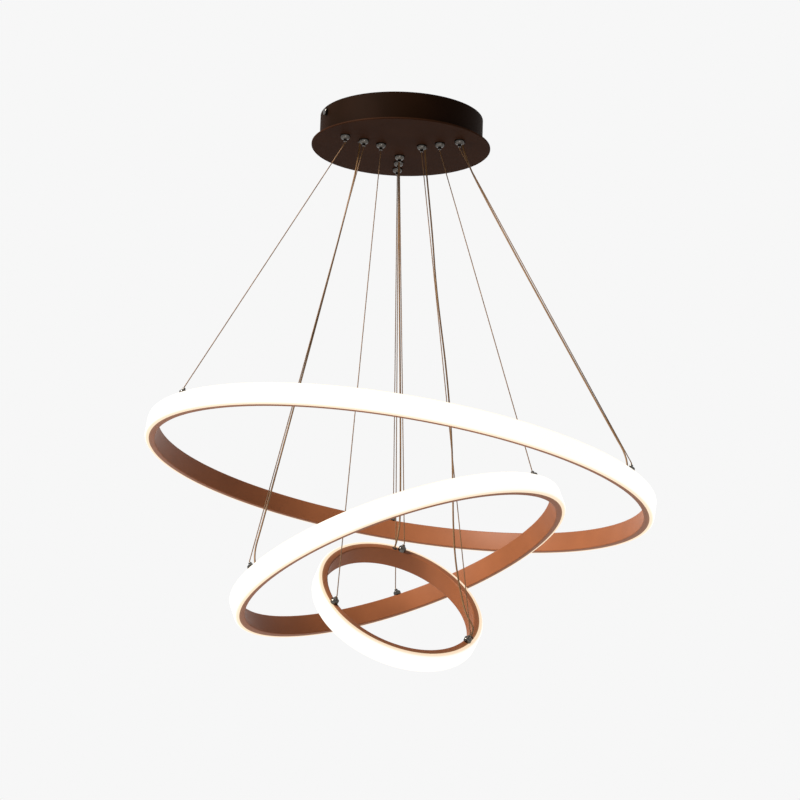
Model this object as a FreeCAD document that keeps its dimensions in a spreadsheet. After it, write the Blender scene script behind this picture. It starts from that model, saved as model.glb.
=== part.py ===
# Ring chandelier: three tilted light rings hung from a round ceiling canopy by nine steel wires.
# Millimetres, +Z up. The origin is on the ceiling, in the middle of the bracket that carries it all.
import FreeCAD, Part
import math
import os
import re
import Sketcher
from FreeCAD import Placement, Rotation, Vector

doc = FreeCAD.newDocument("ring_chandelier")
sheet = doc.addObject("Spreadsheet::Sheet", "sizes")

# Each row: name, value, meaning. Lengths in mm, angles in degrees.
SIZES = [
    # canopy
    ("plate_overhang", 9.5, "face plate beyond the drum, all round"),
    ("plate_thickness", 2.0, "face plate sheet"),
    ("drum_diameter", 195.0, "canopy drum, outside"),
    ("drum_height", 34.5, "canopy drum, from the ceiling to the face plate"),
    ("drum_wall", 1.2, "drum sheet"),
    ("face_stud_diameter", 4.0, "welded studs"),
    ("face_stud_length", 7.0, "welded studs, from the inside of the face plate"),
    ("nut_height", 3.0, "nuts on the studs"),
    ("nut_flats", 7.0, "nuts, across the flats"),
    # ceiling bracket and side screws
    ("bracket_width", 26.0, "strap across the drum"),
    ("bracket_thickness", 1.5, "strap sheet"),
    ("bracket_ear_depth", 16.0, "how far its two ears hang below the ceiling"),
    ("bracket_hole_spacing", 60.0, "the two ceiling screws"),
    ("bracket_hole_diameter", 5.0, "holes for the ceiling screws"),
    ("bracket_angle", 24.3, "direction of the strap, from +X"),
    ("side_screw_depth", 7.5, "side screws, below the ceiling"),
    ("side_screw_diameter", 4.0, "side screw thread"),
    ("side_head_diameter", 8.0, "side screw head"),
    ("side_head_length", 3.5, "side screw head"),
    # parts inside the canopy
    ("driver_length", 78.0, "driver case"),
    ("driver_width", 36.0, "driver case"),
    ("driver_height", 20.0, "driver case"),
    ("driver_tab_length", 9.0, "fixing tab at each end"),
    ("driver_tab_thickness", 1.6, "fixing tab"),
    ("driver_stud_diameter", 3.0, "studs that hold the driver tabs"),
    ("terminal_length", 28.0, "terminal block"),
    ("terminal_width", 16.0, "terminal block"),
    ("terminal_height", 13.0, "terminal block"),
    # wire grippers
    ("arm_angle", 2.4, "turn of the three rows of grippers"),
    ("dome_diameter", 12.0, "gripper dome, seen below the face plate"),
    ("dome_height", 5.0, "gripper dome"),
    ("dome_nose_diameter", 6.6, "flat end of the dome"),
    ("gripper_thread_diameter", 8.0, "gripper thread, up through the face plate"),
    ("gripper_thread_length", 13.0, "gripper thread, above the underside of the plate"),
    ("gripper_cap", 1.5, "closed top of the gripper"),
    ("gripper_bore", 6.4, "spring chamber in the gripper"),
    ("collet_diameter", 4.0, "plunger tip and ball cage"),
    ("collet_clearance", 0.1, "plunger in its guide, radially"),
    ("plunger_reach", 3.0, "plunger tip below the dome"),
    ("plunger_travel", 1.5, "how far the plunger is pushed in to let the wire go"),
    ("plunger_collar", 5.8, "collar that carries the spring"),
    ("ball_diameter", 2.0, "three balls that grip the wire"),
    ("ball_orbit", 1.66, "ball centres, from the wire's axis"),
    ("spring_wire", 0.5, "gripper spring"),
    ("spring_diameter", 4.8, "gripper spring, mean"),
    ("spring_turns", 4.0, "gripper spring"),
    ("gripper_nut_flats", 11.0, "gripper nut, across the flats"),
    ("gripper_nut_height", 3.5, "gripper nut"),
    # wires and cords
    ("wire_diameter", 1.2, "steel suspension wire"),
    ("wire_bend", 4.0, "bend radius of a wire at a gripper and at a ring"),
    ("wire_tail", 6.0, "spare wire above each gripper"),
    ("cord_diameter", 2.0, "power cord"),
    ("bush_diameter", 4.4, "cord bush in the face plate"),
    ("bush_collar_diameter", 5.6, "collar of the cord bush"),
    ("bush_collar_height", 1.0, "collar of the cord bush"),
    ("ring_bush_diameter", 3.4, "cord bush on a ring"),
    ("ring_bush_collar", 4.8, "collar of the cord bush on a ring"),
    # ring section, the same on all three
    ("section_height", 24.0, "ring section, along the ring's axis"),
    ("channel_depth", 7.0, "aluminium channel, radially"),
    ("diffuser_depth", 5.0, "opal diffuser outside the channel, radially"),
    ("channel_wall", 1.2, "channel sheet"),
    ("channel_corner", 1.4, "rounded inner corners of the channel"),
    ("diffuser_wall", 1.2, "opal diffuser"),
    ("diffuser_corner", 3.4, "rounded outer corners of the diffuser"),
    ("diffuser_leg", 1.6, "legs that snap into the channel"),
    ("strip_height", 10.0, "light strip"),
    ("strip_thickness", 1.0, "light strip"),
    # wire anchors on the rings
    ("anchor_diameter", 9.0, "anchor barrel"),
    ("anchor_height", 5.0, "anchor barrel"),
    ("anchor_neck_diameter", 4.0, "anchor neck"),
    ("anchor_neck_height", 2.5, "anchor neck"),
    ("anchor_stud_diameter", 3.0, "anchor stud in the channel"),
    ("anchor_stud_length", 3.5, "anchor stud in the channel"),
    # big ring
    ("big_diameter", 600.0, "outside the diffuser"),
    ("big_middle_across", 11.0, "middle of the ring, X"),
    ("big_middle_back", 20.0, "middle of the ring, Y"),
    ("big_drop", 430.0, "middle of the ring below the ceiling"),
    ("big_lean_angle", -3.5, "turn about X"),
    ("big_roll_angle", 7.7, "turn about the leaning Y"),
    ("big_spin_angle", 1.6, "turn about its own axis"),
    # middle ring
    ("middle_diameter", 400.0, "outside the diffuser"),
    ("middle_middle_across", 13.0, "middle of the ring, X"),
    ("middle_middle_back", -6.0, "middle of the ring, Y"),
    ("middle_drop", 532.0, "middle of the ring below the ceiling"),
    ("middle_lean_angle", -8.8, "turn about X"),
    ("middle_roll_angle", -20.2, "turn about the leaning Y"),
    ("middle_spin_angle", -1.7, "turn about its own axis"),
    # small ring
    ("small_diameter", 200.0, "outside the diffuser"),
    ("small_middle_across", 13.5, "middle of the ring, X"),
    ("small_middle_back", -16.0, "middle of the ring, Y"),
    ("small_drop", 588.0, "middle of the ring below the ceiling"),
    ("small_lean_angle", 44.4, "turn about X"),
    ("small_roll_angle", 18.0, "turn about the leaning Y"),
    ("small_spin_angle", 0.6, "turn about its own axis"),
]
for row, (alias, value, meaning) in enumerate(SIZES, start=1):
    sheet.set("A%d" % row, alias)
    sheet.set("B%d" % row, str(value))
    sheet.setAlias("B%d" % row, alias)
    sheet.set("C%d" % row, meaning)
doc.recompute()

FULL_TURN = 360
RING_NAMES = ("big", "middle", "small")
GRIPPER_RADII = {"big": "0.4 * drum_diameter", "middle": "drum_diameter / 3.75",
                 "small": "drum_diameter / 6.96"}
ARM_ANGLES = {"left": 210.0, "right": 330.0, "far": 90.0}
X_AXIS, Y_AXIS, Z_AXIS = Vector(1, 0, 0), Vector(0, 1, 0), Vector(0, 0, 1)
ALIASES = re.compile(r"\b(%s)\b" % "|".join(alias for alias, _, _ in SIZES))
kept = []    # the finished pieces, one file each


# ---- helpers ----------------------------------------------------------------------------------

def size(formula):
    """The present value of a named size, or of a formula of named sizes."""
    return float(sheet.evalExpression(formula))


def in_sheet(formula):
    """The same formula as an object's property writes it."""
    return ALIASES.sub(r"sizes.\1", formula)


def bind(obj, **formulas):
    """Tie an object's properties to the sheet."""
    for name, formula in formulas.items():
        obj.setExpression(name, in_sheet(formula))
    return obj


def keep(obj, label):
    """Mark a finished piece and name its node."""
    obj.Label = label
    kept.append(obj)
    return obj


def origin_feature(body, role):
    return next(f for f in body.Origin.OriginFeatures if f.Role == role)


def outline_sketch(body, name, plane, corners, arcs):
    """A closed outline, counter-clockwise through corners, each an (x, y) pair of formulas.

    arcs maps a corner's number to the radius of the outward arc from it to the next corner.
    """
    sketch = body.newObject("Sketcher::SketchObject", name)
    sketch.AttachmentSupport = (origin_feature(body, plane), [""])
    sketch.MapMode = "FlatFace"
    points = [Vector(size(x), size(y), 0) for x, y in corners]
    count = len(points)
    for i, start in enumerate(points):
        end = points[(i + 1) % count]
        if i in arcs:
            sketch.addGeometry(outward_arc(start, end, size(arcs[i])), False)
        else:
            sketch.addGeometry(Part.LineSegment(start, end), False)
    for i in range(count):
        sketch.addConstraint(Sketcher.Constraint("Coincident", i, 2, (i + 1) % count, 1))
    for i, (x, y) in enumerate(corners):
        for kind, formula in (("DistanceX", x), ("DistanceY", y)):
            rule = Sketcher.Constraint(kind, -1, 1, i, 1, size(formula))
            bind(sketch, **{"Constraints[%d]" % sketch.addConstraint(rule): formula})
    for i, formula in arcs.items():
        rule = Sketcher.Constraint("Radius", i, size(formula))
        bind(sketch, **{"Constraints[%d]" % sketch.addConstraint(rule): formula})
    return sketch


def outward_arc(start, end, radius):
    middle, chord = (start + end) * 0.5, end - start
    rise = radius - math.sqrt(radius ** 2 - (chord.Length / 2) ** 2)
    return Part.Arc(start, middle + Vector(chord.y, -chord.x, 0).normalize() * rise, end)


def turned(name, corners, arcs=None):
    """A body turned about its own Z axis from half of its section, as (radius, height)."""
    body = doc.addObject("PartDesign::Body", name)
    sketch = outline_sketch(body, name + "_section", "XZ_Plane", corners, arcs or {})
    turn = body.newObject("PartDesign::Revolution", name + "_turned")
    turn.Profile = sketch
    turn.ReferenceAxis = (origin_feature(body, "Z_Axis"), [""])
    turn.Angle = FULL_TURN
    doc.recompute()
    return body


def raised(name, corners, length, plane="XY_Plane", arcs=None):
    """A body raised from an outline, half of its length to each side of the plane."""
    body = doc.addObject("PartDesign::Body", name)
    sketch = outline_sketch(body, name + "_outline", plane, corners, arcs or {})
    pad = body.newObject("PartDesign::Pad", name + "_pad")
    pad.Profile = sketch
    pad.Midplane = True
    bind(pad, Length=length)
    doc.recompute()
    return body


def rod(name, radius, height, place):
    """A cylinder along its placement's Z axis."""
    cylinder = doc.addObject("Part::Cylinder", name)
    bind(cylinder, Radius=radius, Height=height)
    cylinder.Placement = place
    return cylinder


def bored(name, base, tools):
    """A piece with rods taken out of it."""
    drills = doc.addObject("Part::Compound", name + "_drills")
    drills.Links = tools
    cut = doc.addObject("Part::Cut", name)
    cut.Base, cut.Tool = base, drills
    doc.recompute()
    return cut


def joined(name, pieces):
    fuse = doc.addObject("Part::MultiFuse", name)
    fuse.Shapes = pieces
    doc.recompute()
    return fuse


def copies(label, pattern, places):
    """One node with a copy of a finished shape at each place."""
    solids = []
    for place in places:
        solid = pattern.Shape.copy()
        solid.Placement = place * solid.Placement
        solids.append(solid)
    node = doc.addObject("Part::Feature", label)
    node.Shape = solids[0] if len(solids) == 1 else Part.makeCompound(solids)
    return keep(node, label)


def at(x, y, z, turn=0.0):
    return Placement(Vector(x, y, z), Rotation(Z_AXIS, turn))


def around(radius, angle, z, turn=None):
    """A place on a circle about the canopy's axis, turned to face outwards."""
    turn = angle if turn is None else turn
    return at(radius * math.cos(math.radians(angle)), radius * math.sin(math.radians(angle)), z, turn)


def facing_out(radius, angle, z):
    """A place whose Z axis points straight out from the canopy's axis."""
    return around(radius, angle, z) * Placement(Vector(), Rotation(Y_AXIS, 90))


TUBE_SIDES = 8


def tube(points, diameter, radii):
    """A tube along straight runs joined by tangent arcs of the radii given.

    Its section has eight flat sides and the area of the round one.
    """
    edges, start = [], points[0]
    for i in range(1, len(points) - 1):
        before = (points[i - 1] - points[i]).normalize()
        after = (points[i + 1] - points[i]).normalize()
        half_turn = (math.pi - before.getAngle(after)) / 2
        reach = radii[i - 1] * math.tan(half_turn)
        inward = (before + after).normalize()
        centre_distance = radii[i - 1] / math.cos(half_turn)
        arc_start, arc_end = points[i] + before * reach, points[i] + after * reach
        arc_middle = points[i] + inward * (centre_distance - radii[i - 1])
        edges.append(Part.LineSegment(start, arc_start).toShape())
        edges.append(Part.Arc(arc_start, arc_middle, arc_end).toShape())
        start = arc_end
    edges.append(Part.LineSegment(start, points[-1]).toShape())
    path = Part.Wire(edges)
    slice_turn = 2 * math.pi / TUBE_SIDES
    reach = diameter / 2 * math.sqrt(slice_turn / math.sin(slice_turn))
    facing = Placement(points[0], Rotation(Z_AXIS, points[1] - points[0]))
    ring = Part.makePolygon([facing.multVec(Vector(reach * math.cos(i * slice_turn),
                                                   reach * math.sin(i * slice_turn), 0))
                             for i in range(TUBE_SIDES + 1)])
    solid = path.makePipeShell([ring], True, False)
    expected = math.pi * diameter ** 2 / 4 * path.Length
    if abs(solid.Volume / expected - 1) > 0.01:
        raise RuntimeError("a tube's volume is not its section times its length")
    return solid


# ---- heights and radii that several pieces share ----------------------------------------------

FACE = "-(drum_height + plate_thickness)"    # underside of the face plate
INSIDE = "-drum_height"                      # its upper side
face_z, inside_z = size(FACE), size(INSIDE)
drum_bore = "(drum_diameter / 2 - drum_wall)"
LIP_CLEARANCE = 1.1  # between the drum's inward lip and the outer gripper nuts
LIP_EDGE = "(0.4 * drum_diameter + gripper_nut_flats / sqrt(3) + %g)" % LIP_CLEARANCE
FACE_STUD_RADIUS = "(%s + %s) / 2" % (LIP_EDGE, drum_bore)
DRIVER_RADIUS = "drum_diameter * 0.272"
SEAT_GAP = 0.3       # between an ear of the bracket and the drum
HOLE_GAP = 0.15      # round a screw, stud or thread in its hole, radially
THREAD_GAP = 0.05    # round a screw in the thread that holds it, radially


def gripper_place(ring, arm):
    """Where a gripper sits on the underside of the face plate."""
    return around(size(GRIPPER_RADII[ring]), ARM_ANGLES[arm] + size("arm_angle"), face_z)


def ring_place(ring):
    turn = Rotation(X_AXIS, size(ring + "_lean_angle")) * Rotation(Y_AXIS, size(ring + "_roll_angle"))
    middle = Vector(size(ring + "_middle_across"), size(ring + "_middle_back"), -size(ring + "_drop"))
    return Placement(middle, turn)


def on_ring_top(ring, angle):
    """A place in the ring's own frame, on top of the channel."""
    radius = size("%s_diameter / 2 - diffuser_depth - channel_depth / 2" % ring)
    return around(radius, angle + size(ring + "_spin_angle"), size("section_height / 2"))


GRIPPERS = [(ring, arm) for ring in RING_NAMES for arm in ARM_ANGLES]

# Each cord follows the wire of one arm. Its bush in the face plate lies beside that wire's
# gripper, so far outwards and so far to the side, and it enters the ring so far round from the
# anchor, in mm.
CORDS = {
    "cord_big_ring": ("big", "right"),
    "cord_middle_ring": ("middle", "left"),
    "cord_small_ring_right": ("small", "right"),
    "cord_small_ring_far": ("small", "far"),
}
BUSH_OFFSETS = {"cord_big_ring": (0.0, 9.0), "cord_middle_ring": (0.0, -9.0),
                "cord_small_ring_right": (0.0, 9.0), "cord_small_ring_far": (12.0, 0.0)}
CORD_ENTRY_ARCS = {"cord_big_ring": -9.0, "cord_middle_ring": 9.0,
                   "cord_small_ring_right": 9.0, "cord_small_ring_far": 9.0}

# ---- canopy drum and face plate ---------------------------------------------------------------

drum_shell = turned("drum_shell", [
    (LIP_EDGE, INSIDE),
    ("drum_diameter / 2", INSIDE),
    ("drum_diameter / 2", "0"),
    (drum_bore, "0"),
    (drum_bore, INSIDE + " + drum_wall"),
    (LIP_EDGE, INSIDE + " + drum_wall"),
])
STUD_ANGLES = [size("arm_angle") + angle for angle in (30.0, 150.0, 270.0)]
SIDE_ANGLES = [size("bracket_angle"), size("bracket_angle") + 180.0]
face_studs = [around(size(FACE_STUD_RADIUS), angle, inside_z) for angle in STUD_ANGLES]
stud_hole = "face_stud_diameter / 2 + %g" % HOLE_GAP
side_hole = "side_screw_diameter / 2 + %g" % HOLE_GAP
below_lip = at(0, 0, -size("drum_wall"))
drum = bored("drum_bored", drum_shell,
             [rod("drum_stud_hole_%d" % i, stud_hole, "3 * drum_wall", below_lip * place)
              for i, place in enumerate(face_studs)]
             + [rod("drum_side_hole_%d" % i, side_hole, "4 * drum_wall",
                    facing_out(size(drum_bore + " - drum_wall"), angle, -size("side_screw_depth")))
                for i, angle in enumerate(SIDE_ANGLES)])
keep(drum, "canopy_drum")

plate_disc = turned("plate_disc", [
    ("0", FACE), ("drum_diameter / 2 + plate_overhang - plate_thickness / 3", FACE),
    ("drum_diameter / 2 + plate_overhang", FACE + " + plate_thickness / 3"),
    ("drum_diameter / 2 + plate_overhang", INSIDE), ("0", INSIDE),
])
gripper_hole = "gripper_thread_diameter / 2 + %g" % HOLE_GAP
below_plate = at(0, 0, -size("plate_thickness"))
bush_places = {node: gripper_place(*follows) * at(*BUSH_OFFSETS[node], 0)
               for node, follows in CORDS.items()}
plate = bored("plate_bored", plate_disc,
              [rod("gripper_hole_%s_%s" % key, gripper_hole, "3 * plate_thickness",
                   below_plate * gripper_place(*key)) for key in GRIPPERS]
              + [rod("hole_for_" + node, "bush_diameter / 2", "3 * plate_thickness",
                     below_plate * place) for node, place in bush_places.items()])

# ---- things fixed inside the canopy -----------------------------------------------------------

DRIVER_ANGLES = {"big": 30.0, "middle": 150.0, "small": 270.0}
driver_places = {ring: around(size(DRIVER_RADIUS), angle + size("arm_angle"), inside_z)
                 for ring, angle in DRIVER_ANGLES.items()}
tab_middle = size("driver_length / 2 + driver_tab_length / 2")
TAB_SPOTS = [at(0, -tab_middle, 0), at(0, tab_middle, 0)]
stud_height = "face_stud_length + plate_thickness / 2"
stud_foot = at(0, 0, -size("plate_thickness / 2"))
welded = [rod("face_stud_%d" % i, "face_stud_diameter / 2", stud_height, stud_foot * place)
          for i, place in enumerate(face_studs)]
welded += [rod("driver_stud_%s_%d" % (ring, i), "driver_stud_diameter / 2", stud_height,
               stud_foot * place * spot)
           for ring, place in driver_places.items() for i, spot in enumerate(TAB_SPOTS)]
keep(joined("plate_with_studs", [plate] + welded), "canopy_face_plate")

half_w, half_l, cut_corner = "driver_width / 2", "driver_length / 2", "driver_width / 12"
driver_case = raised("driver_case", [
    ("-%s + %s" % (half_w, cut_corner), "-" + half_l), ("%s - %s" % (half_w, cut_corner), "-" + half_l),
    (half_w, "-%s + %s" % (half_l, cut_corner)), (half_w, "%s - %s" % (half_l, cut_corner)),
    ("%s - %s" % (half_w, cut_corner), half_l), ("-%s + %s" % (half_w, cut_corner), half_l),
    ("-" + half_w, "%s - %s" % (half_l, cut_corner)), ("-" + half_w, "-%s + %s" % (half_l, cut_corner)),
], "driver_height")
driver_case.Placement = at(0, 0, size("driver_height / 2"))
tab_half = "driver_width / 4"
tab_end = "(driver_length / 2 + driver_tab_length)"
driver_tabs = raised("driver_tabs", [
    ("-" + tab_half, "-" + tab_end), (tab_half, "-" + tab_end),
    (tab_half, tab_end), ("-" + tab_half, tab_end),
], "driver_tab_thickness")
driver_tabs.Placement = at(0, 0, size("driver_tab_thickness / 2"))
tab_hole = "driver_stud_diameter / 2 + %g" % HOLE_GAP
driver = bored("driver", joined("driver_whole", [driver_case, driver_tabs]),
               [rod("tab_hole_%d" % i, tab_hole, "3 * driver_tab_thickness",
                    spot * at(0, 0, -size("driver_tab_thickness")))
                for i, spot in enumerate(TAB_SPOTS)])
for ring, place in driver_places.items():
    copies("led_driver_%s_ring" % ring, driver, [place])


def hex_nut(name, flats, height, hole):
    prism = doc.addObject("Part::Prism", name + "_blank")
    prism.Polygon = 6
    bind(prism, Circumradius="%s / sqrt(3)" % flats, Height=height)
    return bored(name, prism, [rod(name + "_hole", hole, height, Placement())])


stud_nut = hex_nut("stud_nut", "nut_flats", "nut_height", "face_stud_diameter / 2 + %g" % THREAD_GAP)
copies("face_plate_nuts", stud_nut, [at(0, 0, size("drum_wall")) * place for place in face_studs])
tab_nut = hex_nut("tab_nut", "0.8 * nut_flats", "0.8 * nut_height",
                  "driver_stud_diameter / 2 + %g" % THREAD_GAP)
copies("driver_nuts", tab_nut, [place * spot * at(0, 0, size("driver_tab_thickness"))
                                for place in driver_places.values() for spot in TAB_SPOTS])

TOWERS = 3
half_t, tower, base_height = "terminal_length / 2", "terminal_length / 9", "terminal_height / 2"
outline = [("-" + half_t, "0"), (half_t, "0")]
for i in range(TOWERS):
    right = "%s - %d * %s" % (half_t, 3 * i, tower)
    left = "%s - %d * %s" % (half_t, 3 * i + 2, tower)
    outline += [(right, "terminal_height"), (left, "terminal_height"), (left, base_height)]
    if i < TOWERS - 1:
        outline += [("%s - %d * %s" % (half_t, 3 * i + 3, tower), base_height)]
outline += [("-" + half_t, base_height)]
terminal = raised("terminal", outline, "terminal_width", plane="XZ_Plane")
copies("terminal_block", terminal, [at(0, 0, inside_z, size("bracket_angle"))])

# ---- ceiling bracket and side screws ----------------------------------------------------------

ear = "(sqrt(drum_bore_radius ^ 2 - (bracket_width / 2) ^ 2) - %g)" % SEAT_GAP
ear = ear.replace("drum_bore_radius", drum_bore)
strap_outline = [("-" + ear, "-bracket_ear_depth"), ("-%s + bracket_thickness" % ear, "-bracket_ear_depth"),
                 ("-%s + bracket_thickness" % ear, "-bracket_thickness"),
                 (ear + " - bracket_thickness", "-bracket_thickness"),
                 (ear + " - bracket_thickness", "-bracket_ear_depth"), (ear, "-bracket_ear_depth"),
                 (ear, "0"), ("-" + ear, "0")]
strap = raised("strap", strap_outline, "bracket_width", plane="XZ_Plane")
half_spacing = size("bracket_hole_spacing / 2")
ear_hole = "side_screw_diameter / 2 + %g" % THREAD_GAP
ear_far, ear_near = size(ear), size(ear + " - 2 * bracket_thickness")
bracket = bored("bracket", strap,
                [rod("ceiling_hole_%d" % i, "bracket_hole_diameter / 2", "3 * bracket_thickness",
                     at(x, 0, -2 * size("bracket_thickness")))
                 for i, x in enumerate((-half_spacing, half_spacing))]
                + [rod("ear_hole_%d" % i, ear_hole, "3 * bracket_thickness",
                       facing_out(ear_near, angle, -size("side_screw_depth")))
                   for i, angle in enumerate((0.0, 180.0))])
copies("ceiling_bracket", bracket, [at(0, 0, 0, size("bracket_angle"))])

SCREW_END = 3.0      # side screw beyond the ear, inwards
shank = "(drum_diameter / 2 - %g + %g)" % (ear_near, SCREW_END)
side_screw = turned("side_screw", [
    ("0", "-" + shank), ("side_screw_diameter / 2 - 0.5", "-" + shank),
    ("side_screw_diameter / 2", "0.5 - " + shank), ("side_screw_diameter / 2", "0"),
    ("side_head_diameter / 2", "0"), ("side_head_diameter / 2", "side_head_length - 0.6"),
    ("side_head_diameter / 2 - 0.6", "side_head_length"), ("0", "side_head_length"),
])
copies("canopy_side_screws", side_screw,
       [facing_out(size("drum_diameter / 2"), angle, -size("side_screw_depth"))
        for angle in SIDE_ANGLES])

# ---- wire grippers ----------------------------------------------------------------------------
# A gripper holds its wire by three balls that a spring pushes down into a cone. Pushing the
# plunger's tip up lifts the balls out of the cone, and the wire runs through.

guide = "(collet_diameter / 2 + collet_clearance)"
wire_hole = "(wire_diameter / 2 + 0.15)"
cone_foot, cone_top = "-(dome_height / 2)", "plate_thickness"
chamber_top = "(gripper_thread_length - gripper_cap)"
gripper = turned("gripper", [
    (guide, "-dome_height"), ("dome_nose_diameter / 2", "-dome_height"),
    ("0.43 * dome_diameter", "-0.6 * dome_height"), ("dome_diameter / 2", "0"),
    ("gripper_thread_diameter / 2", "0"), ("gripper_thread_diameter / 2", "gripper_thread_length"),
    (wire_hole, "gripper_thread_length"), (wire_hole, chamber_top),
    ("gripper_bore / 2", chamber_top), ("gripper_bore / 2", cone_top), (guide, cone_foot),
])
gripper_places = {key: gripper_place(*key) for key in GRIPPERS}
copies("gripper_bodies", gripper, gripper_places.values())
gripper_nut = hex_nut("gripper_nut", "gripper_nut_flats", "gripper_nut_height", gripper_hole)
copies("gripper_nuts", gripper_nut,
       [place * at(0, 0, size("plate_thickness")) for place in gripper_places.values()])

collar_foot, collar_top = "(plate_thickness + 0.4)", "(plate_thickness + 1.4)"
plunger_foot = "-(dome_height + plunger_reach)"
cage = turned("cage", [
    (wire_hole, plunger_foot), ("collet_diameter / 2 - 0.4", plunger_foot),
    ("collet_diameter / 2", plunger_foot + " + 0.4"), ("collet_diameter / 2", collar_foot),
    ("plunger_collar / 2", collar_foot), ("plunger_collar / 2", collar_top), (wire_hole, collar_top),
])
BALLS = 3
ball_turns = [i * FULL_TURN / BALLS for i in range(BALLS)]
windows = []
for i, turn in enumerate(ball_turns):
    window = bind(doc.addObject("Part::Box", "window_%d" % i), Length="collet_diameter",
                  Width="ball_diameter + 0.16", Height="ball_diameter + 0.16")
    window.Placement = at(0, 0, 0, turn) * at(0, *[-size("ball_diameter / 2 + 0.08")] * 2)
    windows.append(window)
plunger = bored("plunger", cage, windows)
ball = bind(doc.addObject("Part::Sphere", "ball"), Radius="ball_diameter / 2")
doc.recompute()
balls = []
for turn in ball_turns:
    solid = ball.Shape.copy()
    solid.Placement = at(0, 0, 0, turn) * at(size("ball_orbit"), 0, 0)
    balls.append(solid)
plunger_set = doc.addObject("Part::Feature", "plunger_set")
plunger_set.Shape = Part.makeCompound(plunger.Shape.Solids + balls)
for (ring, arm), place in gripper_places.items():
    copies("plunger_%s_ring_%s" % (ring, arm), plunger_set, [place])

SPRING_GAP = 0.05
spring_foot = size(collar_top) + SPRING_GAP + size("spring_wire / 2")
spring_height = size(chamber_top) - SPRING_GAP - size("spring_wire / 2") - spring_foot
helix = Part.makeHelix(spring_height / size("spring_turns"), spring_height, size("spring_diameter / 2"))
half_wire = size("spring_wire / 2")
start = Vector(size("spring_diameter / 2"), 0, 0)
section = Part.makePolygon([start + Vector(x, 0, z) * half_wire for x, z in
                            ((-1, -1), (1, -1), (1, 1), (-1, 1), (-1, -1))])
spring = doc.addObject("Part::Feature", "spring")
spring.Shape = helix.makePipeShell([section], True, True)
spring.Placement = at(0, 0, spring_foot)
for (ring, arm), place in gripper_places.items():
    copies("spring_%s_ring_%s" % (ring, arm), spring, [place])

# ---- rings ------------------------------------------------------------------------------------

half = "section_height / 2"
entry_places = {}
for node, (ring, arm) in CORDS.items():
    radius = size("%s_diameter / 2 - diffuser_depth - channel_depth / 2" % ring)
    entry_places[node] = on_ring_top(ring, ARM_ANGLES[arm] + math.degrees(CORD_ENTRY_ARCS[node] / radius))

anchor = turned("anchor", [
    ("0", "-anchor_stud_length"), ("anchor_stud_diameter / 2", "-anchor_stud_length"),
    ("anchor_stud_diameter / 2", "0"), ("anchor_diameter / 2", "0"),
    ("anchor_diameter / 2", "anchor_height - 1.2"), ("anchor_neck_diameter / 2", "anchor_height"),
    ("anchor_neck_diameter / 2", "anchor_height + anchor_neck_height"),
    (wire_hole, "anchor_height + anchor_neck_height"), (wire_hole, "1.5"), ("0", "1.5"),
])
cord_hole = "cord_diameter / 2 + %g" % HOLE_GAP
bush = turned("bush", [
    (cord_hole, "-bush_collar_height"), ("bush_collar_diameter / 2", "-bush_collar_height"),
    ("bush_collar_diameter / 2", "0"), ("bush_diameter / 2 - 0.05", "0"),
    ("bush_diameter / 2 - 0.05", "plate_thickness + 1.5"), (cord_hole, "plate_thickness + 1.5"),
])
copies("cord_bushes", bush, bush_places.values())
ring_bush = turned("ring_bush", [
    (cord_hole, "-(channel_wall + 1)"), ("ring_bush_diameter / 2 - 0.05", "-(channel_wall + 1)"),
    ("ring_bush_diameter / 2 - 0.05", "0"), ("ring_bush_collar / 2", "0"),
    ("ring_bush_collar / 2", "bush_collar_height"), (cord_hole, "bush_collar_height"),
])

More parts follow.
